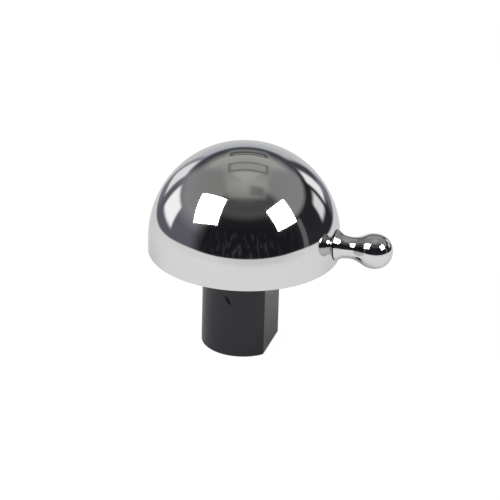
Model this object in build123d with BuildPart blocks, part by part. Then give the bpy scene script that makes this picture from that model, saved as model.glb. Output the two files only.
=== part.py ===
"""Lever-rung dome bell on a D-section plug post.

The frame's origin is on the bell's axis in the plane of the gong's rim. Z points up through
the crown, X points out along the lever at rest, and the post's flat faces +X.
"""

from build123d import *

import os
from math import acos, cos, pi, radians, sin, tan

# Driving dimensions, in millimetres and degrees ------------------------------------------------
GONG_R = 30.0            # outside radius of the gong
GONG_WALL = 1.2
SKIRT_H = 4.5            # straight side below the half sphere
POST_R = 12.7
POST_FLAT = 9.55         # from the axis to the post's flat
POST_DEPTH = 31.3        # from the rim down to the post's foot
LEVER_Z = 5.9            # height of the knob's centre line
ARM_Z = 5.5              # height of the middle of the lever arm's plate
LEVER_SWING = 27.0
NECK_R = 3.42            # slimmest part of the knob
BALL_X = 41.9            # from the bell's axis to the middle of the ball
BALL_R = 5.5

PLATE_R = 25.0
PLATE_BOTTOM = 0.3
PLATE_TOP = 1.3
SHAFT_R = 2.0
RUN = 0.05               # radial clearance of every running fit
SEAT = 0.02              # radial clearance of screws and seated spigots

MODULE = 0.6
PRESSURE = radians(25)
ADDENDUM = 0.8           # in modules
DEDENDUM = 1.1           # in modules
BACKLASH = 0.10          # at the pitch circle
SECTOR_TEETH = 40        # of a full circle
PINION_TEETH = 10
WHEEL_TEETH = 38
SPINNER_TEETH = 12

# Worked out from them --------------------------------------------------------------------------
INNER_R = GONG_R - GONG_WALL
AXLE_X = -MODULE * (SECTOR_TEETH + PINION_TEETH) / 2


def disc(radius, bottom, top, x=0.0, y=0.0, mode=Mode.ADD):
    """A disc or a round hole between two heights."""
    with Locations((x, y, bottom)):
        Cylinder(radius, top - bottom, align=(Align.CENTER, Align.CENTER, Align.MIN), mode=mode)


def write(name, piece):
    """Labels a finished piece and writes it as its own node."""
    piece.part.label = name
    export_step(piece.part, f"parts/{name}.step")


def tooth_face(teeth):
    """One tooth along +X. Each flank is an arc through three points of its involute."""
    pitch_r = MODULE * teeth / 2
    base_r = pitch_r * cos(PRESSURE)
    root_r = pitch_r - DEDENDUM * MODULE
    tip_r = pitch_r + ADDENDUM * MODULE
    foot_r = max(base_r, root_r)

    def corner(radius, side, flank_r=None):
        turn = acos(min(1.0, base_r / (flank_r or radius)))
        half = (pi * MODULE - BACKLASH) / (4 * pitch_r)
        half += tan(PRESSURE) - PRESSURE - tan(turn) + turn
        return radius * cos(half), side * radius * sin(half)

    with BuildSketch() as face:
        with BuildLine():
            for side in (-1, 1):
                foot, tip = corner(foot_r, side), corner(tip_r, side)
                ThreePointArc(foot, corner((foot_r + tip_r) / 2, side), tip)
                Line(corner(root_r - MODULE / 3, side, foot_r), foot)
            ThreePointArc(corner(tip_r, -1), (tip_r, 0), corner(tip_r, 1))
            Line(corner(root_r - MODULE / 3, -1, foot_r), corner(root_r - MODULE / 3, 1, foot_r))
        make_face()
    return face.sketch


def gear_face(teeth, first_tooth):
    """A whole gear's outline with a tooth at the angle first_tooth."""
    tooth = tooth_face(teeth)
    with BuildSketch() as face:
        Circle(MODULE * (teeth / 2 - DEDENDUM))
        with PolarLocations(0, teeth, start_angle=first_tooth):
            add(tooth)
    return face.sketch


def clip_face(groove_r, outer_r):
    """An open retaining ring, its mouth a little narrower than the groove."""
    with BuildSketch() as face:
        Circle(outer_r)
        Circle(groove_r + SEAT, mode=Mode.SUBTRACT)
        with Locations((0, -outer_r)):
            Rectangle(1.7 * groove_r, 2 * outer_r, mode=Mode.SUBTRACT)
        with PolarLocations(outer_r, 2, start_angle=20, angular_range=140, endpoint=True):
            Circle(0.22 * outer_r, mode=Mode.SUBTRACT)
    return face.sketch


os.makedirs("parts", exist_ok=True)

# Gong: spun shell, a half sphere over a short straight skirt, with an arc slot for the lever ----
SLOT_HALF = 2.9
SLOT_CUT = 6.0           # radial depth of the cutter, well through the wall
RIM_CHAMFER = 0.25
with BuildPart() as gong:
    with BuildSketch(Plane.XZ):
        with BuildLine():
            for radius in (GONG_R, INNER_R):
                Line((radius, 0), (radius, SKIRT_H))
                CenterArc((0, SKIRT_H), radius, 0, 90)
            Line((INNER_R, 0), (GONG_R, 0))
            Line((0, SKIRT_H + INNER_R), (0, SKIRT_H + GONG_R))
        make_face()
    revolve(axis=Axis.Z)
    chamfer(gong.edges().group_by(Axis.Z)[0], RIM_CHAMFER)
    with BuildSketch(Plane.XZ):
        with Locations((GONG_R, LEVER_Z)):
            Rectangle(SLOT_CUT, 2 * SLOT_HALF)
    revolve(axis=Axis.Z, revolution_arc=LEVER_SWING, mode=Mode.SUBTRACT)
    for angle in (0, LEVER_SWING):
        outward = (cos(radians(angle)), sin(radians(angle)), 0)
        with BuildSketch(Plane((0, 0, LEVER_Z), z_dir=outward).offset(GONG_R - SLOT_CUT / 2)):
            Circle(SLOT_HALF)
        extrude(amount=SLOT_CUT, mode=Mode.SUBTRACT)
write("gong", gong)

# Boss brazed under the crown: a hexagon shaped to the shell, tapped for the shaft ---------------
BOSS_BOTTOM = 27.4
BOSS_FLAT = 4.0          # from the axis to the hexagon's flats
BOSS_TAPPED = 4.6        # depth of its thread
SHAFT_END_GAP = 0.4      # between the shaft's end and the bottom of the tapped hole
with BuildPart() as gong_boss:
    with BuildSketch(Plane.XY.offset(BOSS_BOTTOM)):
        RegularPolygon(BOSS_FLAT, 6, major_radius=False)
    extrude(amount=INNER_R + SKIRT_H - BOSS_BOTTOM)
    with Locations((0, 0, SKIRT_H)):
        Sphere(INNER_R, mode=Mode.INTERSECT)
    disc(SHAFT_R + SEAT, BOSS_BOTTOM, BOSS_BOTTOM + BOSS_TAPPED, mode=Mode.SUBTRACT)
write("gong_boss", gong_boss)

# Two lugs brazed inside the shell, which the clappers strike -------------------------------------
LUG_R = 25.5
LUG_BOTTOM = 11.6
LUG_W = 3.0
LUG_H = 2.4
with BuildPart() as strike_lugs:
    with BuildSketch(Plane.XY.offset(LUG_BOTTOM)):
        with PolarLocations((LUG_R + GONG_R) / 2, 2, start_angle=90):
            RectangleRounded(GONG_R - LUG_R, LUG_W, LUG_W / 5)
    extrude(amount=LUG_H)
    with Locations((0, 0, SKIRT_H)):
        Sphere(INNER_R, mode=Mode.INTERSECT)
write("strike_lugs", strike_lugs)

# Fibre washer and jam nut that set the gong's height and turn ------------------------------------
WASHER_H = 0.8
WASHER_BOTTOM = BOSS_BOTTOM - WASHER_H
with BuildPart() as isolating_washer:
    disc(BOSS_FLAT, WASHER_BOTTOM, BOSS_BOTTOM)
    disc(SHAFT_R + RUN, WASHER_BOTTOM, BOSS_BOTTOM, mode=Mode.SUBTRACT)
write("isolating_washer", isolating_washer)

NUT_FLAT = 3.5
NUT_BOTTOM = WASHER_BOTTOM - 2.2
with BuildPart() as gong_jam_nut:
    with BuildSketch(Plane.XY.offset(NUT_BOTTOM)):
        RegularPolygon(NUT_FLAT, 6, major_radius=False)
        Circle(SHAFT_R + SEAT, mode=Mode.SUBTRACT)
    extrude(amount=WASHER_BOTTOM - NUT_BOTTOM)
write("gong_jam_nut", gong_jam_nut)

# Centre shaft: spigot, spring shoulder, lever journal, spinner journal and thread in one turning --
SPIGOT_R = 3.0
SPIGOT_BOTTOM = -5.6
SHOULDER_R = 4.5
SHOULDER_TOP = 4.2
JOURNAL_R = 3.0
JOURNAL_TOP = 7.0
SHAFT_GROOVE = 11.68
GROOVE_W = 0.54
SHAFT_GROOVE_R = 1.5
SHAFT_TOP = BOSS_BOTTOM + BOSS_TAPPED - SHAFT_END_GAP
TAPPED_TOP = 2.0
SCREW_CHAMFER = 0.4      # on the ends of threads
with BuildPart() as centre_shaft:
    for radius, bottom, top in (
        (SPIGOT_R, SPIGOT_BOTTOM, PLATE_TOP),
        (SHOULDER_R, PLATE_TOP, SHOULDER_TOP),
        (JOURNAL_R, SHOULDER_TOP, JOURNAL_TOP),
        (SHAFT_R, JOURNAL_TOP, SHAFT_GROOVE),
        (SHAFT_GROOVE_R, SHAFT_GROOVE, SHAFT_GROOVE + GROOVE_W),
        (SHAFT_R, SHAFT_GROOVE + GROOVE_W, SHAFT_TOP),
    ):
        disc(radius, bottom, top)
    disc(SHAFT_R + SEAT, SPIGOT_BOTTOM, TAPPED_TOP, mode=Mode.SUBTRACT)
    chamfer(centre_shaft.edges().group_by(Axis.Z)[-1], SCREW_CHAMFER)
write("centre_shaft", centre_shaft)

# Base plate that carries the works; its screws hold it on the post ------------------------------
SCREW_PCR = 9.3
SCREW_R = 1.25
SLOT_INSET = 5.5         # from the plate's edge to the middle of its lightening slots
PIN_R = 1.0
ARM_HALF = 3.0
STOP_X = 17.0
STOP_Y = ARM_HALF + PIN_R + 0.15
stops = [Vector(STOP_X, -STOP_Y), Vector(STOP_X, STOP_Y).rotate(Axis.Z, LEVER_SWING)]
WIRE_R = 0.3
COIL_R = 5.3
ANCHOR_R = 0.75
PEG_R = 0.6
SPRING_TURN = 60
anchor = Vector(COIL_R + WIRE_R + ANCHOR_R + RUN, -4.5).rotate(Axis.Z, SPRING_TURN)
peg = Vector(COIL_R + WIRE_R + PEG_R + RUN, 4.5).rotate(Axis.Z, SPRING_TURN)
AXLE_FOOT_R = 1.25
with BuildPart() as base_plate:
    with BuildSketch(Plane.XY.offset(PLATE_BOTTOM)):
        Circle(PLATE_R)
        Circle(SPIGOT_R + SEAT, mode=Mode.SUBTRACT)
        with PolarLocations(SCREW_PCR, 3, start_angle=90):
            Circle(SCREW_R + 0.1, mode=Mode.SUBTRACT)
        with Locations(*stops):
            Circle(PIN_R + SEAT, mode=Mode.SUBTRACT)
        with Locations(anchor):
            Circle(ANCHOR_R + SEAT, mode=Mode.SUBTRACT)
        with Locations((AXLE_X, 0)):
            Circle(AXLE_FOOT_R + SEAT, mode=Mode.SUBTRACT)
        with PolarLocations(PLATE_R - SLOT_INSET, 5, start_angle=75, angular_range=240):
            SlotOverall(6.5, 3.2, rotation=90, mode=Mode.SUBTRACT)
    extrude(amount=PLATE_TOP - PLATE_BOTTOM)
    chamfer(base_plate.faces().sort_by(Axis.Z)[-1].outer_wire().edges(), 0.2)
write("base_plate", base_plate)

SCREW_LENGTH = 7.0
SCREW_HEAD_R = 2.2
SCREW_HEAD_H = 1.5
RECESS_L = 2.3
RECESS_W = 0.55
RECESS_DEPTH = 0.8
with BuildPart() as plate_screws:
    with BuildSketch(Plane.XY.offset(PLATE_TOP)):
        with PolarLocations(SCREW_PCR, 3, start_angle=90):
            Circle(SCREW_HEAD_R)
    extrude(amount=SCREW_HEAD_H)
    fillet(plate_screws.edges().group_by(Axis.Z)[-1], 0.6)
    with BuildSketch(Plane.XY.offset(PLATE_TOP + SCREW_HEAD_H)):
        with PolarLocations(SCREW_PCR, 3, start_angle=90):
            Rectangle(RECESS_L, RECESS_W)
            Rectangle(RECESS_W, RECESS_L)
    extrude(amount=-RECESS_DEPTH, mode=Mode.SUBTRACT)
    with BuildSketch(Plane.XY.offset(PLATE_TOP)):
        with PolarLocations(SCREW_PCR, 3, start_angle=90):
            Circle(SCREW_R)
    extrude(amount=-SCREW_LENGTH)
write("plate_screws", plate_screws)

# Plug post: moulded D section with a well for its screw and a bore for the shaft's spigot -------
WELL_R = 3.75
WELL_TOP = -14.0
FOOT_CHAMFER = 0.6
POST_HOLE_R = SHAFT_R + 0.15   # clears the post's screw
with BuildPart() as plug_post:
    with BuildSketch(Plane.XY.offset(-POST_DEPTH)):
        Circle(POST_R)
        with Locations((POST_FLAT + POST_R, 0)):
            Rectangle(2 * POST_R, 2 * POST_R, mode=Mode.SUBTRACT)
    extrude(amount=POST_DEPTH + PLATE_BOTTOM)
    chamfer(plug_post.edges().group_by(Axis.Z)[0], FOOT_CHAMFER)
    disc(WELL_R, -POST_DEPTH, WELL_TOP, mode=Mode.SUBTRACT)
    disc(POST_HOLE_R, WELL_TOP, SPIGOT_BOTTOM, mode=Mode.SUBTRACT)
    disc(SPIGOT_R + SEAT, SPIGOT_BOTTOM - 0.2, PLATE_BOTTOM, mode=Mode.SUBTRACT)
    with BuildSketch(Plane.XY.offset(PLATE_BOTTOM)):
        with PolarLocations(SCREW_PCR, 3, start_angle=90):
            Circle(SCREW_R + SEAT)
    extrude(amount=-SCREW_LENGTH, mode=Mode.SUBTRACT)
write("plug_post", plug_post)

with BuildPart() as post_washer:
    disc(WELL_R - 0.15, WELL_TOP - WASHER_H, WELL_TOP)
    disc(POST_HOLE_R, WELL_TOP - WASHER_H, WELL_TOP, mode=Mode.SUBTRACT)
write("post_washer", post_washer)

HEAD_TOP = WELL_TOP - WASHER_H
HEAD_BOTTOM = HEAD_TOP - 4.0
HEAD_R = 3.5
SHANK_LENGTH = 16.0
SOCKET_FLAT = 1.5        # from the axis to the socket's flats
SOCKET_DEPTH = 2.0
with BuildPart() as post_screw:
    disc(HEAD_R, HEAD_BOTTOM, HEAD_TOP)
    chamfer(post_screw.edges().group_by(Axis.Z)[0], SCREW_CHAMFER)
    disc(SHAFT_R, HEAD_TOP, HEAD_TOP + SHANK_LENGTH)
    chamfer(post_screw.edges().group_by(Axis.Z)[-1], SCREW_CHAMFER)
    with BuildSketch(Plane.XY.offset(HEAD_BOTTOM)):
        RegularPolygon(SOCKET_FLAT, 6, major_radius=False)
    extrude(amount=SOCKET_DEPTH, mode=Mode.SUBTRACT)
write("post_screw", post_screw)

# Pins riveted in the base plate: the lever's two stops and the spring's fixed end ----------------
with BuildPart() as lever_stop_pins:
    for stop in stops:
        disc(PIN_R, PLATE_BOTTOM, ARM_Z + 0.8, stop.X, stop.Y)
    chamfer(lever_stop_pins.edges().group_by(Axis.Z)[-1], 0.25)
write("lever_stop_pins", lever_stop_pins)

with BuildPart() as spring_anchor_pin:
    disc(ANCHOR_R, PLATE_BOTTOM, PLATE_TOP + 1.9, anchor.X, anchor.Y)
    chamfer(spring_anchor_pin.edges().group_by(Axis.Z)[-1], 0.2)
write("spring_anchor_pin", spring_anchor_pin)

# Return spring: three turns round the shaft's shoulder, with a straight leg at each end ----------
TURNS = 3
COIL_BOTTOM = PLATE_TOP + 0.55
COIL_H = 2.0
LEG = 6.0
with BuildPart() as return_spring:
    with BuildLine():
        coil = Helix(COIL_H / TURNS, COIL_H, COIL_R, center=(0, 0, COIL_BOTTOM))
        Line(coil @ 0, coil @ 0 - (coil % 0) * LEG)
        Line(coil @ 1, coil @ 1 + (coil % 1) * LEG)
    with BuildSketch(Plane(coil @ 0 - (coil % 0) * LEG, z_dir=coil % 0)):
        Circle(WIRE_R)
    sweep()
return_spring.part = return_spring.part.rotate(Axis.Z, SPRING_TURN)
write("return_spring", return_spring)

# Lever arm: toothed sector, hub, arm and the tapped boss that takes the knob ---------------------
ARM_BOTTOM = ARM_Z - 1.0
ARM_TOP = ARM_Z + 1.0
HUB_R = 8.6
BUSH_R = 3.9
BOSS_R = 3.5
BOSS_X = 19.5
SEAT_X = 27.8            # where the knob's shank seats on the boss
STUD_LENGTH = 7.2
ARM_NARROW_X = 14.0      # the arm tapers from the hub to here
ARM_END_X = 22.0
SECTOR_CUT = 6           # teeth left on the sector
SECTOR_LEAD = 4          # pitches from the first tooth to the line of centres at rest
sector_root = MODULE * (SECTOR_TEETH / 2 - DEDENDUM)
sector_pitch = 360 / SECTOR_TEETH
sector_first = 180 - SECTOR_LEAD * sector_pitch
sector_tooth = tooth_face(SECTOR_TEETH)
with BuildPart() as lever_arm:
    with BuildSketch(Plane.XY.offset(ARM_BOTTOM)):
        with BuildLine():
            span = SECTOR_CUT * sector_pitch
            edge = CenterArc((0, 0), sector_root, sector_first - sector_pitch / 2, span)
            Line((0, 0), edge @ 0)
            Line((0, 0), edge @ 1)
        make_face()
        with PolarLocations(0, SECTOR_CUT, start_angle=sector_first,
                            angular_range=span):
            add(sector_tooth)
        Circle(HUB_R)
        Polygon((0, -HUB_R), (ARM_NARROW_X, -ARM_HALF), (ARM_END_X, -ARM_HALF),
                (ARM_END_X, ARM_HALF), (ARM_NARROW_X, ARM_HALF), (0, HUB_R), align=None)
        Circle(BUSH_R, mode=Mode.SUBTRACT)
        with Locations(peg):
            Circle(PEG_R + SEAT, mode=Mode.SUBTRACT)
    extrude(amount=ARM_TOP - ARM_BOTTOM)
    with BuildSketch(Plane.YZ.offset(BOSS_X)):
        with Locations((0, LEVER_Z)):
            Circle(BOSS_R)
    extrude(amount=SEAT_X - BOSS_X)
    with BuildSketch(Plane.YZ.offset(SEAT_X)):
        with Locations((0, LEVER_Z)):
            Circle(SHAFT_R + SEAT)
    extrude(amount=-STUD_LENGTH - SHAFT_END_GAP, mode=Mode.SUBTRACT)
write("lever_arm", lever_arm)

with BuildPart() as lever_bush:
    disc(BUSH_R, SHOULDER_TOP + 0.1, JOURNAL_TOP - 0.2)
    disc(JOURNAL_R + RUN, SHOULDER_TOP + 0.1, JOURNAL_TOP - 0.2, mode=Mode.SUBTRACT)
write("lever_bush", lever_bush)

with BuildPart() as lever_spring_peg:
    disc(PEG_R, ARM_BOTTOM - 1.2, ARM_TOP, peg.X, peg.Y)
write("lever_spring_peg", lever_spring_peg)

# Lever knob: turned in one piece with its shank and stud; the flare's base follows the gong ------
KNOB_GAP = 0.35
SHANK_R = 2.5
FLARE_X = 29.0           # the profile starts here, inside the gong, and is cut back to the gap
with BuildPart() as lever_knob:
    with BuildSketch(Plane.XZ):
        with BuildLine():
            flare = Spline(
                (FLARE_X, 5.6), (30.2, 4.66), (31.5, 3.84), (33.0, 3.49), (34.4, NECK_R),
                (36.5, 3.82), (38.0, 4.50), (39.5, 5.18), (BALL_X, BALL_R),
                tangents=[(1, -1), (1, 0)],
            )
            CenterArc((BALL_X, 0), BALL_R, 0, 90)
            Line((BALL_X + BALL_R, 0), (FLARE_X, 0))
            Line((FLARE_X, 0), flare @ 0)
        make_face()
    revolve(axis=Axis.X)
    with Locations((0, 0, SKIRT_H - LEVER_Z)):
        Sphere(GONG_R + KNOB_GAP, mode=Mode.SUBTRACT)
    with BuildSketch(Plane.XY.offset(-LEVER_Z - 1)):
        Circle(GONG_R + KNOB_GAP)
    extrude(amount=SKIRT_H + 1, mode=Mode.SUBTRACT)
    for radius, start, end in ((SHANK_R, SEAT_X, GONG_R + 1.5),
                               (SHAFT_R, SEAT_X - STUD_LENGTH, SEAT_X)):
        with BuildSketch(Plane.YZ.offset(start)):
            Circle(radius)
        extrude(amount=end - start)
lever_knob.part = lever_knob.part.translate((0, 0, LEVER_Z))
write("lever_knob", lever_knob)

# Compound gear on its own axle: the sector drives the pinion, the wheel drives the spinner -------
GEAR_BOTTOM = 4.2
WHEEL_BOTTOM = 7.5
WHEEL_TOP = 8.7
WHEEL_HOLE_R = 2.1
WHEEL_HOLE_PCR = 6.6
STAKE_H = 0.2            # the pinion's spigot stands this far through the wheel
AXLE_R = 1.5
AXLE_GROOVE = 8.98
AXLE_GROOVE_R = 1.15
AXLE_TOP = 9.8
AXLE_SHOULDER_R = 2.6
END_FLOAT = 0.1          # end play of what turns on a shaft
HUB_SPIGOT_R = 2.2
pinion_face = gear_face(PINION_TEETH, 180 / PINION_TEETH)
wheel_face = gear_face(WHEEL_TEETH, 0)
axle_clip_face = clip_face(AXLE_GROOVE_R, 2.7)
with BuildPart() as gear_axle:
    disc(AXLE_FOOT_R, PLATE_BOTTOM, PLATE_TOP, AXLE_X)
    disc(AXLE_SHOULDER_R, PLATE_TOP, GEAR_BOTTOM - END_FLOAT, AXLE_X)
    disc(AXLE_R, GEAR_BOTTOM - END_FLOAT, AXLE_TOP, AXLE_X)
    with BuildSketch(Plane((AXLE_X, 0, AXLE_GROOVE))):
        Circle(AXLE_R + 1)
        Circle(AXLE_GROOVE_R, mode=Mode.SUBTRACT)
    extrude(amount=GROOVE_W, mode=Mode.SUBTRACT)
    chamfer(gear_axle.edges().group_by(Axis.Z)[-1], 0.2)
write("gear_axle", gear_axle)

with BuildPart() as drive_pinion:
    with BuildSketch(Plane((AXLE_X, 0, GEAR_BOTTOM))):
        add(pinion_face)
    extrude(amount=WHEEL_BOTTOM - GEAR_BOTTOM)
    disc(HUB_SPIGOT_R, WHEEL_BOTTOM, WHEEL_TOP + STAKE_H, AXLE_X)
    disc(AXLE_R + RUN, GEAR_BOTTOM, WHEEL_TOP + STAKE_H, AXLE_X, mode=Mode.SUBTRACT)
write("drive_pinion", drive_pinion)

with BuildPart() as drive_gear:
    with BuildSketch(Plane((AXLE_X, 0, WHEEL_BOTTOM))):
        add(wheel_face)
        Circle(HUB_SPIGOT_R, mode=Mode.SUBTRACT)
        with PolarLocations(WHEEL_HOLE_PCR, 5):
            Circle(WHEEL_HOLE_R, mode=Mode.SUBTRACT)
    extrude(amount=WHEEL_TOP - WHEEL_BOTTOM)
write("drive_gear", drive_gear)

CLIP_H = 0.5
with BuildPart() as gear_clip:
    with BuildSketch(Plane((AXLE_X, 0, AXLE_GROOVE + SEAT))):
        add(axle_clip_face)
    extrude(amount=CLIP_H)
write("gear_clip", gear_clip)

# Spinner: pinion and bar staked together, held on the shaft by two washers and a clip ------------
SPINNER_BOTTOM = 7.4
TEETH_TOP = 9.4
BAR_BOTTOM = 10.2
BAR_TOP = 11.2
CLAPPER_X = 20.0
STAKE_R = 2.6
BAR_W = 5.0
BAR_END_R = 3.4
spinner_face = gear_face(SPINNER_TEETH, 180 / SPINNER_TEETH)
shaft_clip_face = clip_face(SHAFT_GROOVE_R, 3.4)
for name, bottom, top, radius in (
    ("lower_thrust_washer", JOURNAL_TOP, JOURNAL_TOP + 0.3, 4.0),
    ("upper_thrust_washer", BAR_TOP + END_FLOAT, BAR_TOP + END_FLOAT + 0.3, 3.8),
):
    with BuildPart() as thrust_washer:
        disc(radius, bottom, top)
        disc(SHAFT_R + RUN, bottom, top, mode=Mode.SUBTRACT)
    write(name, thrust_washer)

with BuildPart() as spinner_clip:
    with BuildSketch(Plane.XY.offset(SHAFT_GROOVE + SEAT)):
        add(shaft_clip_face)
    extrude(amount=CLIP_H)
write("spinner_clip", spinner_clip)

with BuildPart() as spinner_pinion:
    with BuildSketch(Plane.XY.offset(SPINNER_BOTTOM)):
        add(spinner_face)
    extrude(amount=TEETH_TOP - SPINNER_BOTTOM)
    disc(SPIGOT_R, TEETH_TOP, BAR_BOTTOM)
    disc(STAKE_R, BAR_BOTTOM, BAR_TOP)
    disc(SHAFT_R + RUN, SPINNER_BOTTOM, BAR_TOP, mode=Mode.SUBTRACT)
write("spinner_pinion", spinner_pinion)

RIVET_FOOT_R = 1.3
with BuildPart() as spinner_bar:
    with BuildSketch(Plane.XY.offset(BAR_BOTTOM)):
        Circle(5.2)
        Rectangle(2 * CLAPPER_X, BAR_W)
        with Locations((-CLAPPER_X, 0), (CLAPPER_X, 0)):
            Circle(BAR_END_R)
            Circle(RIVET_FOOT_R, mode=Mode.SUBTRACT)
        Circle(STAKE_R, mode=Mode.SUBTRACT)
    extrude(amount=BAR_TOP - BAR_BOTTOM)
write("spinner_bar", spinner_bar)

# Clappers: loose discs on riveted posts, with room to fly outwards -------------------------------
CLAPPER_BOTTOM = 11.4
CLAPPER_TOP = 14.0
CLAPPER_R = 5.0
RIVET_R = 1.5
RIVET_HEAD = (CLAPPER_TOP + 0.2, CLAPPER_TOP + 0.9)
THROW = 1.0
with BuildPart() as clapper_rivets:
    for side in (-1, 1):
        disc(RIVET_FOOT_R, BAR_BOTTOM, BAR_TOP, side * CLAPPER_X)
        disc(RIVET_R, BAR_TOP, RIVET_HEAD[0], side * CLAPPER_X)
        disc(BAR_END_R, *RIVET_HEAD, side * CLAPPER_X)
    fillet(clapper_rivets.edges().group_by(Axis.Z)[-1], 0.4)
write("clapper_rivets", clapper_rivets)

for name, side in (("clapper_a", 1), ("clapper_b", -1)):
    with BuildPart() as clapper:
        disc(CLAPPER_R, CLAPPER_BOTTOM, CLAPPER_TOP, side * CLAPPER_X)
        disc(RIVET_R + THROW + 2 * RUN, CLAPPER_BOTTOM, CLAPPER_TOP, side * CLAPPER_X,
             mode=Mode.SUBTRACT)
        chamfer(clapper.edges(), 0.3)
    write(name, clapper)
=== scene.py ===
"""Lever-rung dome bell on a plug post: the looks of each piece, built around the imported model.

Lengths are in metres, in the bell's own frame. The origin is on the bell's axis in the plane of the
gong's rim, Z points up through the crown, and X points out along the lever at rest.
"""

from math import asin, cos, degrees, pi, radians, sin, sqrt

import bmesh
import bpy
import numpy as np
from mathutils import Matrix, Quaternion, Vector


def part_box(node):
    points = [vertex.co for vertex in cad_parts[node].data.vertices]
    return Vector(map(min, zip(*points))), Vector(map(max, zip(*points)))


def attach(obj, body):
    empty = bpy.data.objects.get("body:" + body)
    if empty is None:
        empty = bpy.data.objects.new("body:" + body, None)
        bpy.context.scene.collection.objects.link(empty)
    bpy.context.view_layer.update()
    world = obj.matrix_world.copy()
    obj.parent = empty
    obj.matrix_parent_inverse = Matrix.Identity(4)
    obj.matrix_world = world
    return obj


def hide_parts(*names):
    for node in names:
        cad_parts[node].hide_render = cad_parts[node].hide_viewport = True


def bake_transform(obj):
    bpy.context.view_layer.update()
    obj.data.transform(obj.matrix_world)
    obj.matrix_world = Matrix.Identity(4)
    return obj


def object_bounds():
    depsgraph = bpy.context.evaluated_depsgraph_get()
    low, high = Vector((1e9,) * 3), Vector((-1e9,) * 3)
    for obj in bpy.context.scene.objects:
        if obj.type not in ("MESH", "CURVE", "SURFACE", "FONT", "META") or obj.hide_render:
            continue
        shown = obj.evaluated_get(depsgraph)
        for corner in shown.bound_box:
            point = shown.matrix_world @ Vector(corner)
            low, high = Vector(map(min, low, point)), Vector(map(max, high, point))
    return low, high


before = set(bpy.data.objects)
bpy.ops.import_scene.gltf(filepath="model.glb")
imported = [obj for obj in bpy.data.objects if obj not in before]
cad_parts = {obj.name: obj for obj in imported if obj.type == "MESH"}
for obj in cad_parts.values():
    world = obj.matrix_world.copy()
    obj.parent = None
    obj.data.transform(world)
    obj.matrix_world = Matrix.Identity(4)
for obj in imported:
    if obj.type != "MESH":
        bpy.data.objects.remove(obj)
cad_low, cad_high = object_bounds()
MM = 0.001

# Plug post -----------------------------------------------------------------------------------------
# A black moulding with a D section, a lightly broken foot and a well for its screw. The rest of the
# bell is screwed to its top. Its flat keys it in the socket.


class Signal:
    """One socket of a node tree. Arithmetic on it adds Math nodes, and make() adds any other node."""

    def __init__(self, tree, socket=None):
        self.tree = tree
        self.socket = socket

    def make(self, kind, settings=None, inputs=None, out=0):
        """Adds a node: its settings first, a ramp's stops among them, then its values and links."""
        node = self.tree.nodes.new("ShaderNode" + kind)
        for name, value in (settings or {}).items():
            if name != "stops":
                setattr(node, name, value)
                continue
            steps = node.color_ramp.elements
            steps[0].position = value[0][0]
            steps[-1].position = value[-1][0]
            for place, _ in value[1:-1]:
                steps.new(place)
            for step, (_, colour) in zip(steps, value):
                step.color = (*colour, 1)
        for name, value in (inputs or {}).items():
            if isinstance(value, Signal):
                self.tree.links.new(value.socket, node.inputs[name])
            else:
                node.inputs[name].default_value = value
        return Signal(self.tree, node.outputs[out] if node.outputs else None)

    def math(self, operation, first, second=0.0):
        return self.make("Math", {"operation": operation}, {0: first, 1: second})

    def __add__(self, other):
        return self.math("ADD", self, other)

    def __sub__(self, other):
        return self.math("SUBTRACT", self, other)

    def __rsub__(self, other):
        return self.math("SUBTRACT", other, self)

    def __mul__(self, other):
        return self.math("MULTIPLY", self, other)

    def __truediv__(self, other):
        return self.math("DIVIDE", self, other)

    __radd__ = __add__
    __rmul__ = __mul__

    def rise(self, low, high):
        """0 below low, 1 above high, and a smooth step between."""
        return self.make("MapRange", {"interpolation_type": "SMOOTHSTEP"},
                         {"Value": self, "From Min": low, "From Max": high})

    def band(self, low, high, soft):
        """1 between low and high, falling to 0 over soft at each side."""
        return self.rise(low - soft, low + soft) * (1 - self.rise(high - soft, high + soft))

    def mix(self, colour, other):
        """From colour where this signal is 0 to other where it is 1."""
        return self.make("Mix", {"data_type": "RGBA"}, {0: self, 6: colour, 7: other}, out=2)

    def noise(self, size, detail=2.0, stretch=(1, 1, 1)):
        """Noise whose lumps are about size across, longer by stretch along each axis."""
        scale = [1 / (size * much) for much in stretch]
        place = self.make("VectorMath", {"operation": "MULTIPLY"}, {0: self, 1: scale})
        return self.make("TexNoise", {}, {"Vector": place, "Scale": 1.0, "Detail": detail})

    def bump(self, depth):
        """A normal from this signal taken as a height, with depth for a rise of 1."""
        return self.make("Bump", {}, {"Height": self, "Distance": depth, "Strength": 1.0}, out="Normal")


def grey(level):
    return (level, level, level, 1)


def new_material(name):
    """An empty node material and its Object coordinates."""
    material = bpy.data.materials.new(name)
    material.use_nodes = True
    material.node_tree.nodes.clear()
    return material, Signal(material.node_tree).make("TexCoord", out="Object")


def coat(place, sockets):
    """Closes a material with one Principled surface."""
    surface = place.make("BsdfPrincipled", {}, sockets)
    place.make("OutputMaterial", {}, {"Surface": surface})


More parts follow.
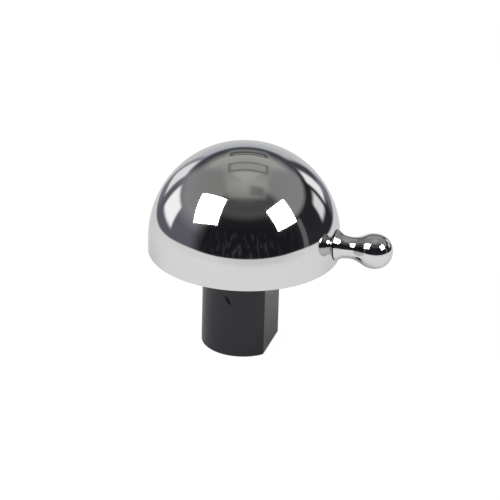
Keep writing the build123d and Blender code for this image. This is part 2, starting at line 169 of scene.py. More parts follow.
def make_mesh(name, points, faces, exact=None):
    """A closed smooth mesh with its faces outwards. A vertex's normal is the sum of its faces' area
    vectors, which keeps a long flat plain beside a small rounding, unless exact() corrects it."""
    mesh = bpy.data.meshes.new(name)
    mesh.from_pydata(points, [], faces)
    turned = bmesh.new()
    turned.from_mesh(mesh)
    bmesh.ops.recalc_face_normals(turned, faces=turned.faces)
    turned.to_mesh(mesh)
    turned.free()
    count = len(mesh.polygons)
    mesh.polygons.foreach_set("use_smooth", np.ones(count, bool))
    area, facing, corners = np.empty(count), np.empty(count * 3), np.empty(count, int)
    mesh.polygons.foreach_get("area", area)
    mesh.polygons.foreach_get("normal", facing)
    mesh.polygons.foreach_get("loop_total", corners)
    vertex = np.empty(len(mesh.loops), int)
    mesh.loops.foreach_get("vertex_index", vertex)
    normals = np.zeros((len(points), 3))
    np.add.at(normals, vertex, np.repeat(area[:, None] * facing.reshape(-1, 3), corners, axis=0))
    normals /= np.linalg.norm(normals, axis=1)[:, None]
    if exact:
        normals = exact(np.asarray(points), normals)
    mesh.normals_split_custom_set_from_vertices(normals)
    piece = bpy.data.objects.new(name, mesh)
    bpy.context.scene.collection.objects.link(piece)
    return piece


def grid_faces(below, above):
    """Quads between two rows of vertex numbers, or two stacks of rows, whose columns close up."""
    quads = (below, np.roll(below, -1, -1), np.roll(above, -1, -1), above)
    return np.stack(quads, -1).reshape(-1, 4).tolist()


def skin(name, rings, ring_closes=False):
    """A closed surface over rows of points, each row a closed loop. The last row joins the first if
    ring_closes, or else a fan of triangles closes each end."""
    rows, columns = rings.shape[:2]
    number = np.arange(rows * columns).reshape(rows, columns)
    points = rings.reshape(-1, 3)
    if ring_closes:
        return make_mesh(name, points, grid_faces(number, np.roll(number, -1, 0)))
    faces = grid_faces(number[:-1], number[1:])
    for row in (0, -1):
        edge = number[row]
        faces += np.stack([edge, np.roll(edge, -1), np.full(columns, len(points))], -1).tolist()
        points = np.vstack([points, rings[row].mean(0)])
    return make_mesh(name, points, faces)


def eased(corners, radius, steps=3, closed=False):
    """A profile with each corner eased: the curve (1-t)^2 a + 2t(1-t) c + t^2 b through a point
    before and one after the corner c, each radius away."""
    corners = np.asarray(corners, float)
    before, after = np.roll(corners, 1, 0) - corners, np.roll(corners, -1, 0) - corners
    reach = [np.minimum(radius, 0.4 * np.linalg.norm(side, axis=1))[:, None] for side in (before, after)]
    a = corners + before / np.linalg.norm(before, axis=1)[:, None] * reach[0]
    b = corners + after / np.linalg.norm(after, axis=1)[:, None] * reach[1]
    t = np.linspace(0, 1, steps + 1)[:, None, None]
    curve = ((1 - t) ** 2 * a + 2 * t * (1 - t) * corners + t ** 2 * b).transpose(1, 0, 2)
    if closed:
        return curve.reshape(-1, 2)
    return np.vstack([corners[:1], curve[1:-1].reshape(-1, 2), corners[-1:]])


post_low, post_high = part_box("plug_post")
POST_R = -post_low.x
POST_FLAT = post_high.x
CORNER_R = 0.3 * MM
FOOT_EDGE = 0.3 * MM
WELL_R = 3.75 * MM
WELL_TOP = -14.0 * MM
SCREW_HOLE_R = 2.15 * MM
SPIGOT_R = 3.02 * MM
SPIGOT_LOW = -5.8 * MM
NICK_TURN = radians(-95.4)
NICK_Z = -11.8 * MM
NICK_LENGTH = 3.2 * MM
NICK_HALF = 0.5 * MM
NICK_DEPTH = 0.36 * MM
NICK_LEAN = radians(35)
FINE_TURN = radians(7.1)
FINE_HALF = 2.03 * MM


def post_outline(inset):
    """The D section moved in by inset: a flat, a large arc, and a small arc at each corner between.
    The large arc has more points where the nick is."""
    reach, flat = POST_R - inset, POST_FLAT - inset
    corner_x = flat - CORNER_R
    corner_y = np.sqrt((reach - CORNER_R) ** 2 - corner_x ** 2)
    turn = np.arctan2(corner_y, corner_x)
    small = np.linspace(0, 1, 7) * turn
    large = np.linspace(turn, 2 * pi - turn, 201)[1:-1]
    finer = NICK_TURN + 2 * pi + np.linspace(-FINE_TURN, FINE_TURN, 49)
    large = np.unique(np.concatenate([large, finer]))
    along = np.linspace(-1, 1, 61)[1:-1] * corner_y
    corner = np.stack([corner_x + CORNER_R * np.cos(small), corner_y + CORNER_R * np.sin(small)], -1)
    return np.vstack([
        np.stack([np.full_like(along, flat), along], -1),
        corner,
        np.stack([reach * np.cos(large), reach * np.sin(large)], -1),
        corner[::-1] * (1, -1),
    ])


D_TURN = np.arctan2(post_outline(0)[:, 1], post_outline(0)[:, 0])


def post_rings():
    """Side, foot, well, bore and top as one stack of loops. Those outside follow the D section, the
    others are circles with their points at the same turns."""
    outside = eased([(0.25 * MM, post_high.z), (0, post_high.z - 0.25 * MM), (0, post_low.z + FOOT_EDGE),
                     (FOOT_EDGE, post_low.z), (1.4 * MM, post_low.z)], 0.12 * MM)
    rows = [np.linspace(-1.0, -29.0, 71) * MM, NICK_Z + np.linspace(-FINE_HALF, FINE_HALF, 37)]
    rows = np.unique(np.concatenate(rows))[::-1]
    outside = np.vstack([outside[:5], [(0, row) for row in rows], outside[5:]])
    inside = eased([(6 * MM, post_low.z), (WELL_R, post_low.z), (WELL_R, WELL_TOP),
                    (SCREW_HOLE_R, WELL_TOP), (SCREW_HOLE_R, SPIGOT_LOW), (SPIGOT_R, SPIGOT_LOW),
                    (SPIGOT_R, post_high.z), (6 * MM, post_high.z)], 0.1 * MM)
    rings = [np.column_stack([post_outline(inset), np.full(len(D_TURN), z)]) for inset, z in outside]
    rings += [np.column_stack([radius * np.cos(D_TURN), radius * np.sin(D_TURN), np.full(len(D_TURN), z)])
              for radius, z in inside]
    return np.array(rings)




def nicked(rings):
    """Presses one short leaning nick into the side: its depth is a smooth bump across and along it."""
    turn = np.arctan2(rings[..., 1], rings[..., 0])
    across = POST_R * (turn - NICK_TURN)
    up = rings[..., 2] - NICK_Z
    along = up * cos(NICK_LEAN) - across * sin(NICK_LEAN)
    beside = up * sin(NICK_LEAN) + across * cos(NICK_LEAN)
    shape = np.exp(-(beside / NICK_HALF) ** 2 * 1.5 - (along / (NICK_LENGTH / 2)) ** 4)
    reach = np.hypot(rings[..., 0], rings[..., 1])
    deep = np.where(reach > 0.98 * POST_R, NICK_DEPTH * shape, 0)
    rings[..., :2] *= (1 - deep / reach)[..., None]
    return rings


post_moulding = skin("post_moulding", nicked(post_rings()), ring_closes=True)

black_plastic, place = new_material("black_moulded_plastic")
flow = place.noise(0.5 * MM, 3, stretch=(1, 1, 26))
cloud = place.noise(5 * MM, 3)
fine = place.noise(0.12 * MM, 2)
flat_side = place.make("SeparateXYZ", {}, {0: place}).rise(POST_FLAT - 0.4 * MM, POST_FLAT - 0.1 * MM)
coat(place, {
    "Base Color": cloud.mix((0.0022, 0.0012, 0.0055, 1), (0.005, 0.0035, 0.0095, 1)),
    "Roughness": 0.27 + cloud * 0.07 + flow * (0.04 + flat_side * 0.10) - flat_side * 0.07,
    "IOR": 1.45,
    "Normal": (fine * 0.25 + flow * (0.15 + flat_side * 0.5)).bump(0.005 * MM),
})
post_moulding.data.materials.append(black_plastic)
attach(post_moulding, "stand")
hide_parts("plug_post")

# Screws and washer ---------------------------------------------------------------------------------
# Blackened steel: three cross-recessed screws through the base plate, and the socket-head screw that
# pulls the post on to the shaft through a zinc-plated washer.


def machined(node, body, material, edge=0.06 * MM):
    """The node's own solid as one skin, with its triangles merged and its sharp edges broken."""
    work = bmesh.new()
    work.from_mesh(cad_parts[node].data)
    bmesh.ops.remove_doubles(work, verts=work.verts, dist=1e-7)
    bmesh.ops.dissolve_limit(work, angle_limit=radians(0.5), verts=work.verts, edges=work.edges)
    mesh = bpy.data.meshes.new(node + "_piece")
    work.to_mesh(mesh)
    work.free()
    mesh.polygons.foreach_set("use_smooth", np.ones(len(mesh.polygons), bool))
    mesh.materials.append(material)
    piece = bpy.data.objects.new(node + "_piece", mesh)
    bpy.context.scene.collection.objects.link(piece)
    bevel = piece.modifiers.new("broken_edges", "BEVEL")
    bevel.width = edge
    bevel.segments = 2
    bevel.limit_method = "ANGLE"
    bevel.angle_limit = radians(32)
    bevel.harden_normals = True
    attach(piece, body)
    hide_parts(node)
    return piece


def metal(name, colour, dull, roughness, grain, axis=None):
    """A bare or plated metal: its colour clouds towards dull, and its roughness varies with the grain.
    About an upright axis at x = axis it also carries the fine rings that a lathe leaves."""
    material, place = new_material(name)
    cloud = place.noise(4 * MM, 3)
    speckle = place.noise(grain, 2)
    height = speckle * 0.5
    if axis is not None:
        flat = place.make("VectorMath", {"operation": "MULTIPLY"}, {0: place, 1: (1, 1, 0)})
        reach = place.make("VectorMath", {"operation": "DISTANCE"}, {0: flat, 1: (axis, 0, 0)}, out="Value")
        height = height + place.math("SINE", reach * (2 * pi / (0.18 * MM))) * 0.35
    coat(place, {
        "Base Color": cloud.rise(0.35, 0.7).mix(colour, dull),
        "Metallic": 1.0,
        "Roughness": roughness + cloud * 0.12 + speckle * 0.08,
        "Normal": height.bump(0.004 * MM),
    })
    return material


blackened = metal("blackened_steel", (0.045, 0.045, 0.05, 1), (0.025, 0.024, 0.024, 1), 0.30, 0.25 * MM)
zinc = metal("zinc_plate", (0.62, 0.62, 0.60, 1), (0.50, 0.50, 0.46, 1), 0.26, 0.3 * MM)
machined("plate_screws", "stand", blackened)
machined("post_screw", "stand", blackened)
machined("post_washer", "stand", zinc)

# Base plate and its pins ---------------------------------------------------------------------------
# A punched zinc-plated disc that carries the works, with the lever's two stop pins, the spring's
# anchor pin and the gear's axle riveted in it. The centre shaft is one turning in ground steel.
ground = metal("ground_steel", (0.58, 0.58, 0.59, 1), (0.47, 0.47, 0.48, 1), 0.16, 0.2 * MM, axis=0.0)
machined("base_plate", "stand", zinc)
for node in ("centre_shaft", "gear_axle", "lever_stop_pins", "spring_anchor_pin"):
    machined(node, "stand", ground)

# Return spring -------------------------------------------------------------------------------------
# Three turns of hard-drawn wire round the shaft's shoulder. One leg bears on the anchor pin, the
# other on the lever's peg.
WIRE_R = 0.3 * MM
COIL_R = 5.3 * MM
COIL_LOW = 1.85 * MM
COIL_RISE = 2.0 * MM
TURNS = 3
LEG = 6.0 * MM
SPRING_TURN = radians(60)


def spring_rings():
    """A circle carried along a straight leg, a helix and another straight leg, tangent to each other."""
    turn = np.linspace(0, TURNS * 2 * pi, TURNS * 48 + 1)
    slope = COIL_RISE / (TURNS * 2 * pi * COIL_R)
    height = COIL_LOW + COIL_RISE * turn / turn[-1]
    centre = np.stack([COIL_R * np.cos(turn), COIL_R * np.sin(turn), height], -1)
    ahead = np.stack([-np.sin(turn), np.cos(turn), np.full_like(turn, slope)], -1) / sqrt(1 + slope ** 2)
    leg = np.linspace(LEG, 0, 9)[:-1, None]
    path = np.vstack([centre[0] - leg * ahead[0], centre, centre[-1] + leg[::-1] * ahead[-1]])
    ahead = np.vstack([np.repeat(ahead[:1], len(leg), 0), ahead, np.repeat(ahead[-1:], len(leg), 0)])
    turn = np.concatenate([np.full(len(leg), turn[0]), turn, np.full(len(leg), turn[-1])])
    out = np.stack([np.cos(turn), np.sin(turn), np.zeros_like(turn)], -1)
    side = np.cross(ahead, out)
    around = np.linspace(0, 2 * pi, 13)[:-1][None, :, None]
    rings = path[:, None] + WIRE_R * (np.cos(around) * out[:, None] + np.sin(around) * side[:, None])
    c, s = cos(SPRING_TURN), sin(SPRING_TURN)
    return rings @ np.array([(c, s, 0), (-s, c, 0), (0, 0, 1)])


spring_steel = metal("spring_steel", (0.34, 0.33, 0.32, 1), (0.24, 0.22, 0.19, 1), 0.22, 0.2 * MM)
spring_wire = skin("spring_wire", spring_rings())
spring_wire.data.materials.append(spring_steel)
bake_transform(spring_wire)
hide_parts("return_spring")

# Lever arm -----------------------------------------------------------------------------------------
# A zinc-plated arm with a toothed sector at one end and the knob's tapped boss at the other. It
# turns on a pressed-in brass bush, and a steel peg takes the spring's leg.
brass = metal("turned_brass", (0.80, 0.60, 0.30, 1), (0.66, 0.46, 0.20, 1), 0.20, 0.25 * MM, axis=0.0)
machined("lever_arm", "lever", zinc)
machined("lever_bush", "lever", brass)
machined("lever_spring_peg", "lever", ground)

# Compound gear -------------------------------------------------------------------------------------
# A cut brass pinion with a blanked brass wheel staked on it, kept on the axle by a spring clip.
AXLE_X = (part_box("drive_gear")[0].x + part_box("drive_gear")[1].x) / 2
gear_brass = metal("gear_brass", (0.79, 0.59, 0.29, 1), (0.64, 0.44, 0.19, 1), 0.22, 0.25 * MM, axis=AXLE_X)
machined("drive_pinion", "gear", gear_brass, edge=0.03 * MM)
machined("drive_gear", "gear", gear_brass, edge=0.03 * MM)
machined("gear_clip", "stand", spring_steel, edge=0.04 * MM)

# Spinner -------------------------------------------------------------------------------------------
# A brass pinion staked in a zinc-plated bar, between two steel thrust washers under a spring clip.
# The bar's two rivets keep the clappers.
machined("lower_thrust_washer", "stand", ground, edge=0.04 * MM)
machined("spinner_pinion", "spinner", brass, edge=0.03 * MM)
machined("spinner_bar", "spinner", zinc)
machined("clapper_rivets", "spinner", ground)
machined("upper_thrust_washer", "stand", ground, edge=0.04 * MM)
machined("spinner_clip", "stand", spring_steel, edge=0.04 * MM)

# Clappers ------------------------------------------------------------------------------------------
# Two loose brass discs that fly out and strike the gong's lugs.
clapper_brass = metal("struck_brass", (0.72, 0.52, 0.25, 1), (0.50, 0.34, 0.15, 1), 0.30, 0.5 * MM)
for node in ("clapper_a", "clapper_b"):
    machined(node, node, clapper_brass)

# Jam nut, washer, boss and lugs --------------------------------------------------------------------
# The hexagon boss and the two lugs are brazed inside the gong. The boss screws on the shaft down to a
# red fibre washer, and the zinc-plated nut below locks it.
machined("gong_jam_nut", "stand", zinc)
machined("gong_boss", "stand", brass)
machined("strike_lugs", "stand", zinc)

red_fibre, place = new_material("red_fibre")
fibres = place.noise(0.2 * MM, 4, stretch=(1, 6, 1))
coat(place, {
    "Base Color": fibres.mix((0.20, 0.022, 0.012, 1), (0.34, 0.05, 0.025, 1)),
    "Roughness": 0.55 + fibres * 0.2,
    "Normal": fibres.bump(0.01 * MM),
})
machined("isolating_washer", "stand", red_fibre)

# Gong ----------------------------------------------------------------------------------------------
# One spun steel shell, a half sphere on a short straight skirt with a rounded rim, polished and
# chrome plated outside. The lever comes out through a slot with rounded ends, above the rim.
gong_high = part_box("gong")[1]
GONG_R = gong_high.x
SKIRT = gong_high.z - GONG_R
GONG_WALL = 1.2 * MM
RIM_EDGE = 0.25 * MM
LEVER_Z = 5.9 * MM
LEVER_SWING = radians(27)
SLOT_HALF = 2.9 * MM
SLOT_EDGE = 0.15 * MM
COLUMNS = 288
PATCH_TURNS = (-9, 31)
PATCH_HEIGHTS = (1.0 * MM, 10.2 * MM)
PATCH_ROWS = 12
PATCH_RINGS = 9
CROWN_START = radians(89.2)
DOME_STEPS = (76, 40)
SKIRT_ROW = 0.6 * MM


def shell(turn, height, depth):
    """The wall at a turn and height, depth inside its face: a sphere of radius GONG_R - depth about
    the top of the skirt, and a cylinder of that radius below."""
    radius = GONG_R - depth
    reach = np.sqrt(radius ** 2 - np.clip(height - SKIRT, 0, radius) ** 2)
    return np.stack([reach * np.cos(turn), reach * np.sin(turn), height + 0 * reach], -1)


def from_middle(points):
    """Vectors from the sphere's middle to points above the skirt, and from the axis to those below."""
    return points - np.stack([0 * points[:, 2], 0 * points[:, 2], np.minimum(points[:, 2], SKIRT)], -1)


def shell_normals(points, normals):
    """On both faces of the wall the true normal, straight out from the sphere's middle or the axis."""
    out = from_middle(points)
    reach = np.linalg.norm(out, axis=1)
    for radius, sign in ((GONG_R, 1), (GONG_R - GONG_WALL, -1)):
        on_face = (abs(reach - radius) < 1e-8) & (points[:, 2] > RIM_EDGE / 2)
        normals[on_face] = sign * out[on_face] / reach[on_face, None]
    return normals


def gong_surface():
    """Rows of points from the outer crown down to the rim and up to the inner crown. In each face one
    patch of the grid gives way to loops that close in on the slot: each loop's point lies between
    the patch's edge and the nearest point of the slot's outline."""
    edge_in = RIM_EDGE * (1 - np.cos(np.linspace(0, pi / 2, 5)))
    edge_up = RIM_EDGE * (1 - np.sin(np.linspace(0, pi / 2, 5)))
    patch = np.linspace(PATCH_HEIGHTS[1], PATCH_HEIGHTS[0], PATCH_ROWS + 1)
    rows = []
    for depth in (0.0, GONG_WALL):
        radius = GONG_R - depth
        low = asin((PATCH_HEIGHTS[1] - SKIRT) / radius)
        steps = DOME_STEPS[0] if depth == 0 else DOME_STEPS[1]
        dome = SKIRT + radius * np.sin(np.linspace(CROWN_START, low, steps)[:-1])
        face = np.concatenate([dome, patch, [SKIRT_ROW]])
        rows.append([(height, depth) for height in face])
    lip = [(up, inward) for up, inward in zip(edge_up, edge_in)]
    lip += [(up, GONG_WALL - inward) for up, inward in zip(edge_up[::-1], edge_in[::-1])]
    profile = np.array(rows[0] + lip + rows[1][::-1])
    turns = np.arange(COLUMNS) * 2 * pi / COLUMNS
    height, depth = profile[:, :1] + 0 * turns, profile[:, 1:] + 0 * turns
    points = shell(turns + 0 * height, height, depth).reshape(-1, 3)
    number = np.arange(len(points)).reshape(-1, COLUMNS)

    columns = np.arange(PATCH_TURNS[0], PATCH_TURNS[1] + 1)
    top_outer = len(rows[0]) - 2 - PATCH_ROWS
    top_inner = len(profile) - 1 - (len(rows[1]) - 2 - PATCH_ROWS)
    kept = np.ones((len(profile) - 1, COLUMNS), bool)
    kept[top_outer:top_outer + PATCH_ROWS, columns[:-1]] = False
    kept[top_inner - PATCH_ROWS:top_inner, columns[:-1]] = False
    quads = np.array(grid_faces(number[:-1], number[1:])).reshape(-1, COLUMNS, 4)
    faces = quads[kept].tolist()

    down = np.arange(PATCH_ROWS + 1)
    edge_rows = np.concatenate([np.full(len(columns), PATCH_ROWS), down[::-1][1:],
                                np.full(len(columns) - 1, 0), down[1:-1]])
    edge_columns = np.concatenate([columns, np.full(PATCH_ROWS, columns[-1]), columns[::-1][1:],
                                   np.full(PATCH_ROWS - 1, columns[0])])
    outer = number[top_outer + edge_rows, edge_columns % COLUMNS]
    inner = number[top_inner - edge_rows, edge_columns % COLUMNS]

    edge = np.stack([edge_columns * 2 * pi / COLUMNS * GONG_R, patch[edge_rows]], -1)
    core = np.stack([np.clip(edge[:, 0], 0, LEVER_SWING * GONG_R), np.full(len(edge), LEVER_Z)], -1)
    away = (edge - core) / np.linalg.norm(edge - core, axis=1)[:, None]
    ease = np.linspace(0, pi / 2, 5)
    approach = np.linspace(0, 1, PATCH_RINGS + 1)[1:]
    widen = [(SLOT_HALF + SLOT_EDGE * (1 - sin(a)), SLOT_EDGE * (1 - cos(a))) for a in ease[1:]]
    loops = [(edge + (core + away * (SLOT_HALF + SLOT_EDGE) - edge) * share, 0.0) for share in approach]
    loops += [(core + away * half, deep) for half, deep in widen]
    loops += [(core + away * half, GONG_WALL - deep) for half, deep in widen[::-1]]
    loops += [(edge + (core + away * (SLOT_HALF + SLOT_EDGE) - edge) * share, GONG_WALL)
              for share in approach[::-1]]
    new = np.concatenate([shell(flat[:, 0] / GONG_R, flat[:, 1], deep) for flat, deep in loops])
    fresh = len(points) + np.arange(len(new)).reshape(len(loops), -1)
    stack = np.vstack([outer, fresh, inner])
    faces += grid_faces(stack[:-1], stack[1:])
    points = np.vstack([points, new])
    for row, crown in ((0, gong_high.z), (-1, gong_high.z - GONG_WALL)):
        ring = number[row]
        faces += np.stack([ring, np.roll(ring, -1), np.full(COLUMNS, len(points))], -1).tolist()
        points = np.vstack([points, (0, 0, crown)])
    return points, faces


chrome, place = new_material("chrome_plate")
wave = place.noise(9 * MM, 1)
haze = place.noise(3 * MM, 4)
wipe = place.noise(0.25 * MM, 2, stretch=(1, 1, 14)).rise(0.62, 0.8)
coat(place, {
    "Base Color": haze.mix((0.63, 0.63, 0.64, 1), (0.615, 0.615, 0.62, 1)),
    "Metallic": 1.0,
    "Roughness": 0.035 + haze * 0.02 + wipe * 0.015,
    "Specular Tint": grey(0.8),
    "Normal": wave.bump(0.004 * MM),
})
unpolished = metal("unpolished_plate", (0.50, 0.50, 0.49, 1), (0.40, 0.39, 0.37, 1), 0.32, 0.4 * MM,
                   axis=0.0)
gong_shell = make_mesh("gong_shell", *gong_surface(), exact=shell_normals)
gong_shell.data.materials.append(chrome)
gong_shell.data.materials.append(unpolished)
centres = np.array([polygon.center for polygon in gong_shell.data.polygons])
reach = np.linalg.norm(from_middle(centres), axis=1)
inner_face = (reach < GONG_R - 0.9 * GONG_WALL).astype(int)
gong_shell.data.polygons.foreach_set("material_index", inner_face)
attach(gong_shell, "stand")
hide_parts("gong")

# Lever knob ----------------------------------------------------------------------------------------
# Turned in one piece with its shank and stud, then polished and chrome plated like the gong. The
# flare's foot is cut to the gong's curve and clears it by a fifth of a millimetre.
KNOB_GAP = 0.2 * MM
SHANK_R = 2.5 * MM
SEAT_X = 27.8 * MM
STUD_R = 2.0 * MM
STUD_LENGTH = 7.2 * MM
KNOB_EDGE = 0.12 * MM
BALL_X = 41.9 * MM
BALL_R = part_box("lever_knob")[1].x - BALL_X
FLARE = np.array([(29.0, 5.6), (30.2, 4.66), (31.5, 3.84), (33.0, 3.49), (34.4, 3.42), (36.5, 3.82),
                  (38.0, 4.50), (39.5, 5.18), (BALL_X / MM, BALL_R / MM)]) * MM


def flare_radius(x):
    """A clamped cubic spline through FLARE: its slopes are -1 at the foot and 0 at the ball, and those
    between make the curvature run on through each point."""
    at, radius = FLARE.T
    step = np.diff(at)
    chord = np.diff(radius) / step
    system, right = np.eye(len(at)), np.zeros(len(at))
    right[0] = -1.0
    for k in range(1, len(at) - 1):
        system[k, k - 1:k + 2] = (step[k], 2 * (step[k - 1] + step[k]), step[k - 1])
        right[k] = 3 * (step[k] * chord[k - 1] + step[k - 1] * chord[k])
    slope = np.linalg.solve(system, right)
    k = np.clip(np.searchsorted(at, x) - 1, 0, len(step) - 1)
    t = (x - at[k]) / step[k]
    return (radius[k] * (1 + 2 * t) * (1 - t) ** 2 + radius[k + 1] * t * t * (3 - 2 * t)
            + step[k] * (slope[k] * t * (1 - t) ** 2 - slope[k + 1] * t * t * (1 - t)))


def knob_rings():
    """Loops about the knob's axis from the stud's end, over the foot, the flare and the neck, to the
    ball's tip. The foot's loops lie on the gong's surface moved out by the gap."""
    around = np.linspace(0, 2 * pi, 129)[:-1]
    c, s = np.cos(around), np.sin(around)
    clear = GONG_R + KNOB_GAP

    def gong_x(radius):
        above = np.maximum(LEVER_Z + radius * s - SKIRT, 0)
        return np.sqrt(clear ** 2 - (radius * c) ** 2 - above ** 2)

    low, high = np.full_like(around, FLARE[0, 0]), np.full_like(around, FLARE[3, 0])
    for _ in range(40):
        middle = (low + high) / 2
        inside = middle < gong_x(flare_radius(middle))
        low, high = np.where(inside, middle, low), np.where(inside, high, middle)
    foot_r = flare_radius(low)
    edge = np.stack([low, foot_r])
    inner = np.stack([gong_x(foot_r - KNOB_EDGE), foot_r - KNOB_EDGE])
    outer = np.stack([low + KNOB_EDGE, flare_radius(low + KNOB_EDGE)])
    stud_x = SEAT_X - STUD_LENGTH
    rows = [np.stack([x + 0 * c, radius + 0 * c]) for x, radius in eased(
        [(stud_x, STUD_R - 0.4 * MM), (stud_x + 0.4 * MM, STUD_R), (SEAT_X, STUD_R), (SEAT_X, SHANK_R),
         (29.0 * MM, SHANK_R)], 0.08 * MM)]
    rows += [np.stack([gong_x(radius), radius]) for radius in
             np.linspace(SHANK_R + 0 * c, foot_r - KNOB_EDGE, 6)]
    rows += [(1 - t) ** 2 * inner + 2 * t * (1 - t) * edge + t * t * outer for t in (0.25, 0.5, 0.75)]
    for share in np.linspace(0, 1, 22)[:-1]:
        x = outer[0] + (FLARE[3, 0] - outer[0]) * share
        rows.append(np.stack([x, flare_radius(x)]))
    rows += [np.stack([x + 0 * c, flare_radius(x) + 0 * c])
             for x in np.linspace(FLARE[3, 0], BALL_X, 48)[:-1]]
    rows += [np.stack([BALL_X + BALL_R * sin(a) + 0 * c, BALL_R * cos(a) + 0 * c])
             for a in np.radians(np.linspace(0, 88, 40))]
    return np.array([np.stack([x, radius * c, LEVER_Z + radius * s], -1) for x, radius in rows])


knob_turning = skin("knob_turning", knob_rings())
knob_turning.data.materials.append(chrome)
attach(knob_turning, "lever")
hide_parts("lever_knob")

# Floor ---------------------------------------------------------------------------------------------
# A white table top under the post, glowing FLOOR_CLEAN of the way to plain white for the camera, so
# that only a trace of shadow shows. Other rays meet a shaded top that gains LIFT of the glow past the
# foot. From FLOOR_NEAR to FLOOR_FAR it turns plain, and mirrored rays pass to the studio's table.
FLOOR_HALF = 3.0
FLOOR_NEAR = 0.12
FLOOR_FAR = 0.35
FLOOR_CLEAN = 0.93
FLOOR_GLOW = 1.04
LIFT_FROM = (0.018, 0.06)
LIFT = 0.4
TABLE_PAINT = 0.93
bpy.ops.mesh.primitive_plane_add(size=2 * FLOOR_HALF, location=(0, 0, cad_low.z))
floor = bpy.context.active_object
floor.name = "floor"
white, place = new_material("white_table")
reach = place.make("VectorMath", {"operation": "LENGTH"}, {0: place}, out="Value")
out = reach.rise(FLOOR_NEAR, FLOOR_FAR)
lift = reach.rise(*LIFT_FROM) * LIFT
ray = place.make("LightPath", out="Is Camera Ray")
mirrored = place.make("LightPath", out="Is Glossy Ray")
shaded = place.make("BsdfDiffuse", {}, {"Color": grey(TABLE_PAINT)})
bright = place.make("Emission", {}, {"Color": grey(1.0), "Strength": FLOOR_GLOW})
clean = place.math("MAXIMUM", place.math("MAXIMUM", out, ray * FLOOR_CLEAN), lift)
surface = place.make("MixShader", {}, {0: clean, 1: shaded, 2: bright})
beyond = place.make("BsdfTransparent")
surface = place.make("MixShader", {}, {0: out * mirrored, 1: surface, 2: beyond})
place.make("OutputMaterial", {}, {"Surface": surface})
floor.data.materials.append(white)

# Camera --------------------------------------------------------------------------------------------
# A long lens from the lever's side of the front, above the rim and very slightly rolled. The turn is
# about the bell's axis, and the aim is the point in the middle of the picture.
VIEW_TURN = radians(15.7)
VIEW_RISE = radians(25.15)
AIM = Vector((1.82, 0.51, -0.17)) * MM
CAMERA_AWAY = 0.85
CAMERA_ROLL = radians(1.55)
CAMERA_LENS = 196.2
camera = bpy.data.objects.new("camera", bpy.data.cameras.new("camera"))
bpy.context.scene.collection.objects.link(camera)
bpy.context.scene.camera = camera
camera.data.lens = CAMERA_LENS
toward = Vector((sin(VIEW_TURN) * cos(VIEW_RISE), -cos(VIEW_TURN) * cos(VIEW_RISE), sin(VIEW_RISE)))
camera.location = AIM + toward * CAMERA_AWAY
camera.rotation_mode = "QUATERNION"
camera.rotation_quaternion = toward.to_track_quat("Z", "Y") @ Quaternion((0, 0, 1), CAMERA_ROLL)

# Soft boxes ----------------------------------------------------------------------------------------
# Two nearly square soft boxes, high to the left and the right of the camera. The dome mirrors both as
# plain white patches.
BOX_AWAY = 1.6
BOX_RADIANCE = 7.8


def softbox(name, turn, rise, width, height, roll):
    """An area light that faces the bell. Its turn is from the camera's side, its sizes per metre away."""
    light = bpy.data.lights.new(name, "AREA")
    light.shape = "RECTANGLE"
    light.size, light.size_y = width * BOX_AWAY, height * BOX_AWAY
    light.energy = BOX_RADIANCE * pi * light.size * light.size_y
    lamp = bpy.data.objects.new(name, light)
    bpy.context.scene.collection.objects.link(lamp)
    turn += VIEW_TURN
    back = Vector((sin(turn) * cos(rise), -cos(turn) * cos(rise), sin(rise)))
    lamp.location = back * BOX_AWAY
    lamp.rotation_mode = "QUATERNION"
    lamp.rotation_quaternion = back.to_track_quat("Z", "Y") @ Quaternion((0, 0, 1), roll)
    lamp.visible_camera = False


softbox("left_softbox", radians(-62.5), radians(42.8), 0.56, 0.57, radians(23.8))
softbox("right_softbox", radians(60.0), radians(38.5), 0.49, 0.465, 0.0)

# Studio --------------------------------------------------------------------------------------------
# What stands round the table, as a function of direction alone: turn is 0 towards the camera and
# positive to its right, rise is above the horizon, both in degrees.
CHROME = 0.63
LOW_SKY = 0.05
BACKDROP = 1.05


def seen(level, tint=(1, 1, 1)):
    """The radiance that chrome shows at this display level out of 255."""
    linear = ((level / 255 + 0.055) / 1.055) ** 2.4 / CHROME
    return tuple(linear * part for part in tint)


world = bpy.data.worlds.new("studio")
bpy.context.scene.world = world
world.use_nodes = True
world.node_tree.nodes.clear()
start = Signal(world.node_tree)
direction = start.make("VectorRotate", {"rotation_type": "Z_AXIS"},
                       {"Vector": start.make("TexCoord", out="Generated"), "Angle": -VIEW_TURN})
x, y, z = (direction.make("SeparateXYZ", {}, {0: direction}, out=axis) for axis in "XYZ")
turn = start.math("ARCTAN2", x, y * -1) * degrees(1)
rise = start.math("ARCSINE", z) * degrees(1)
aside = start.math("ABSOLUTE", turn)


def wall(stops):
    """A wall's levels from the horizon to overhead."""
    return start.make("ValToRGB", {"stops": [(at / 90, seen(level, tint)) for at, level, tint in stops]},
                      {0: rise / 90})


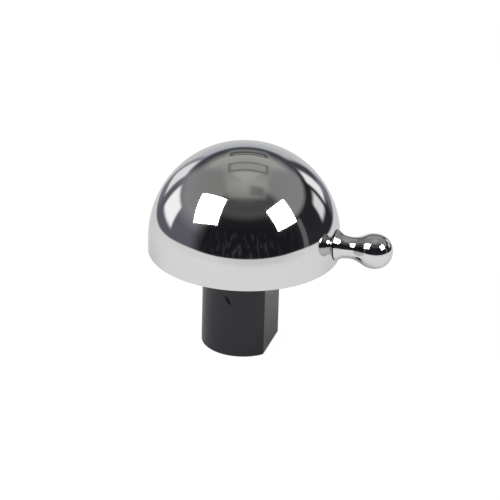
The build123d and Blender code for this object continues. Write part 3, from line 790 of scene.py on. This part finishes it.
COOL = (0.95, 0.94, 1.12)
PLAIN = (1, 1, 1)
GREEN = (1, 1.01, 0.93)
front = wall([(0, 25, COOL), (30, 25, COOL), (41, 32, COOL), (46, 60, PLAIN), (50, 71, PLAIN),
              (57, 66, PLAIN), (64, 72, PLAIN), (70, 104, GREEN), (80, 128, GREEN), (90, 146, GREEN)])
left = wall([(0, 90, COOL), (12, 92, COOL), (20, 112, COOL), (28, 128, PLAIN), (45, 121, PLAIN),
             (70, 119, GREEN), (80, 134, GREEN), (90, 141, GREEN)])
right = wall([(0, 40, COOL), (20, 36, COOL), (26, 38, COOL), (31, 126, PLAIN), (45, 124, PLAIN),
              (65, 122, PLAIN), (78, 138, GREEN), (90, 140, GREEN)])
back = wall([(0, 120, COOL), (20, 130, COOL), (25, 62, COOL), (30, 75, COOL), (42, 154, GREEN),
             (55, 138, GREEN), (65, 126, GREEN), (75, 153, GREEN), (90, 145, GREEN)])
clutter = start.make("CombineXYZ", {}, {0: turn / 5, 1: rise / 16})
clutter = start.make("TexNoise", {}, {"Vector": clutter, "Scale": 1.0, "Detail": 2.0}).rise(0.5, 0.62)
clutter = clutter * (1 - rise.rise(16, 34)) * (1 - aside.rise(14, 44) * 0.75)
front = (clutter * 0.5).mix(front, (*seen(66, COOL), 1))
room = turn.rise(-48, -72).mix(front, left)
room = turn.rise(60, 84).mix(room, right)
room = aside.rise(132, 150).mix(room, back)


def panel(under, low_turn, high_turn, low_rise, high_rise, colour, soft=1.5):
    """A rectangle of another colour in the room, between two turns and two rises."""
    mask = turn.band(low_turn, high_turn, soft) * rise.band(low_rise, high_rise, soft)
    return mask.mix(under, (*colour, 1))


for corners in (
    (75, 82, -5, 25, seen(92)),
    (113, 128, 3, 18, seen(212), 3),
    (134, 146, 2, 22, seen(232), 2.5),
    (148, 157, 2, 24, seen(66, COOL), 2.5),
    (-128, -100, 1, 21, seen(240), 2.5),
    (-154, -139, 0, 20, seen(222), 2.5),
):
    room = panel(room, *corners)
overhead = rise.rise(14, 20)
along = x / start.math("MAXIMUM", z, LOW_SKY)
away = y / start.math("MAXIMUM", z, LOW_SKY)


def fitting(under, low_along, high_along, low_away, high_away, share, colour, soft=0.03):
    """A rectangle on the ceiling: along and away are measured there, in heights of the ceiling."""
    mask = along.band(low_along, high_along, soft) * away.band(low_away, high_away, soft)
    return (mask * overhead * share).mix(under, (*colour, 1))


for corners in (
    (-0.36, 0.42, -0.33, 1.9, 0.3, seen(158, GREEN), 0.08),
    (-0.30, 0.38, 1.12, 1.50, 0.95, seen(74)),
    (-0.24, 0.32, 1.20, 1.30, 0.7, seen(150)),
    (-0.30, 0.38, 0.34, 0.68, 0.85, seen(98)),
    (-0.25, 0.33, 0.40, 0.62, 0.85, seen(146, GREEN)),
    (0.08, 0.36, -0.27, -0.04, 0.55, seen(80), 0.06),
    (-0.36, 0.42, -0.62, -0.36, 0.35, seen(72), 0.06),
):
    room = fitting(room, *corners)
sweep = aside.rise(155, 162) * (1 - rise.rise(19, 22))
sweep_stops = [(0, seen(198)), (1, seen(172, (0.93, 0.98, 1.06)))]
sweep_level = start.make("ValToRGB", {"stops": sweep_stops}, {0: rise / 22})
room = sweep.mix(room, sweep_level)
edge = aside.rise(55, 140) * -8 - 2.5
table = (edge - rise).rise(-0.7, 0.7)
# The table is darker in a band in front of the camera, a painted shadow, and darker again far behind.
table_level = turn.band(-18, 60, 25).mix((*seen(206), 1), (*seen(194), 1))
table_level = (aside.rise(152, 172) * rise.rise(-50, -24)).mix(table_level, (*seen(172), 1))
room = table.mix(room, table_level)
camera_ray = start.make("LightPath", out="Is Camera Ray")
sky = camera_ray.mix(room, grey(BACKDROP))
lit = start.make("Background", {}, {"Color": sky, "Strength": 1.0})
start.make("OutputWorld", {}, {"Surface": lit})

bpy.context.scene.view_settings.view_transform = "Standard"
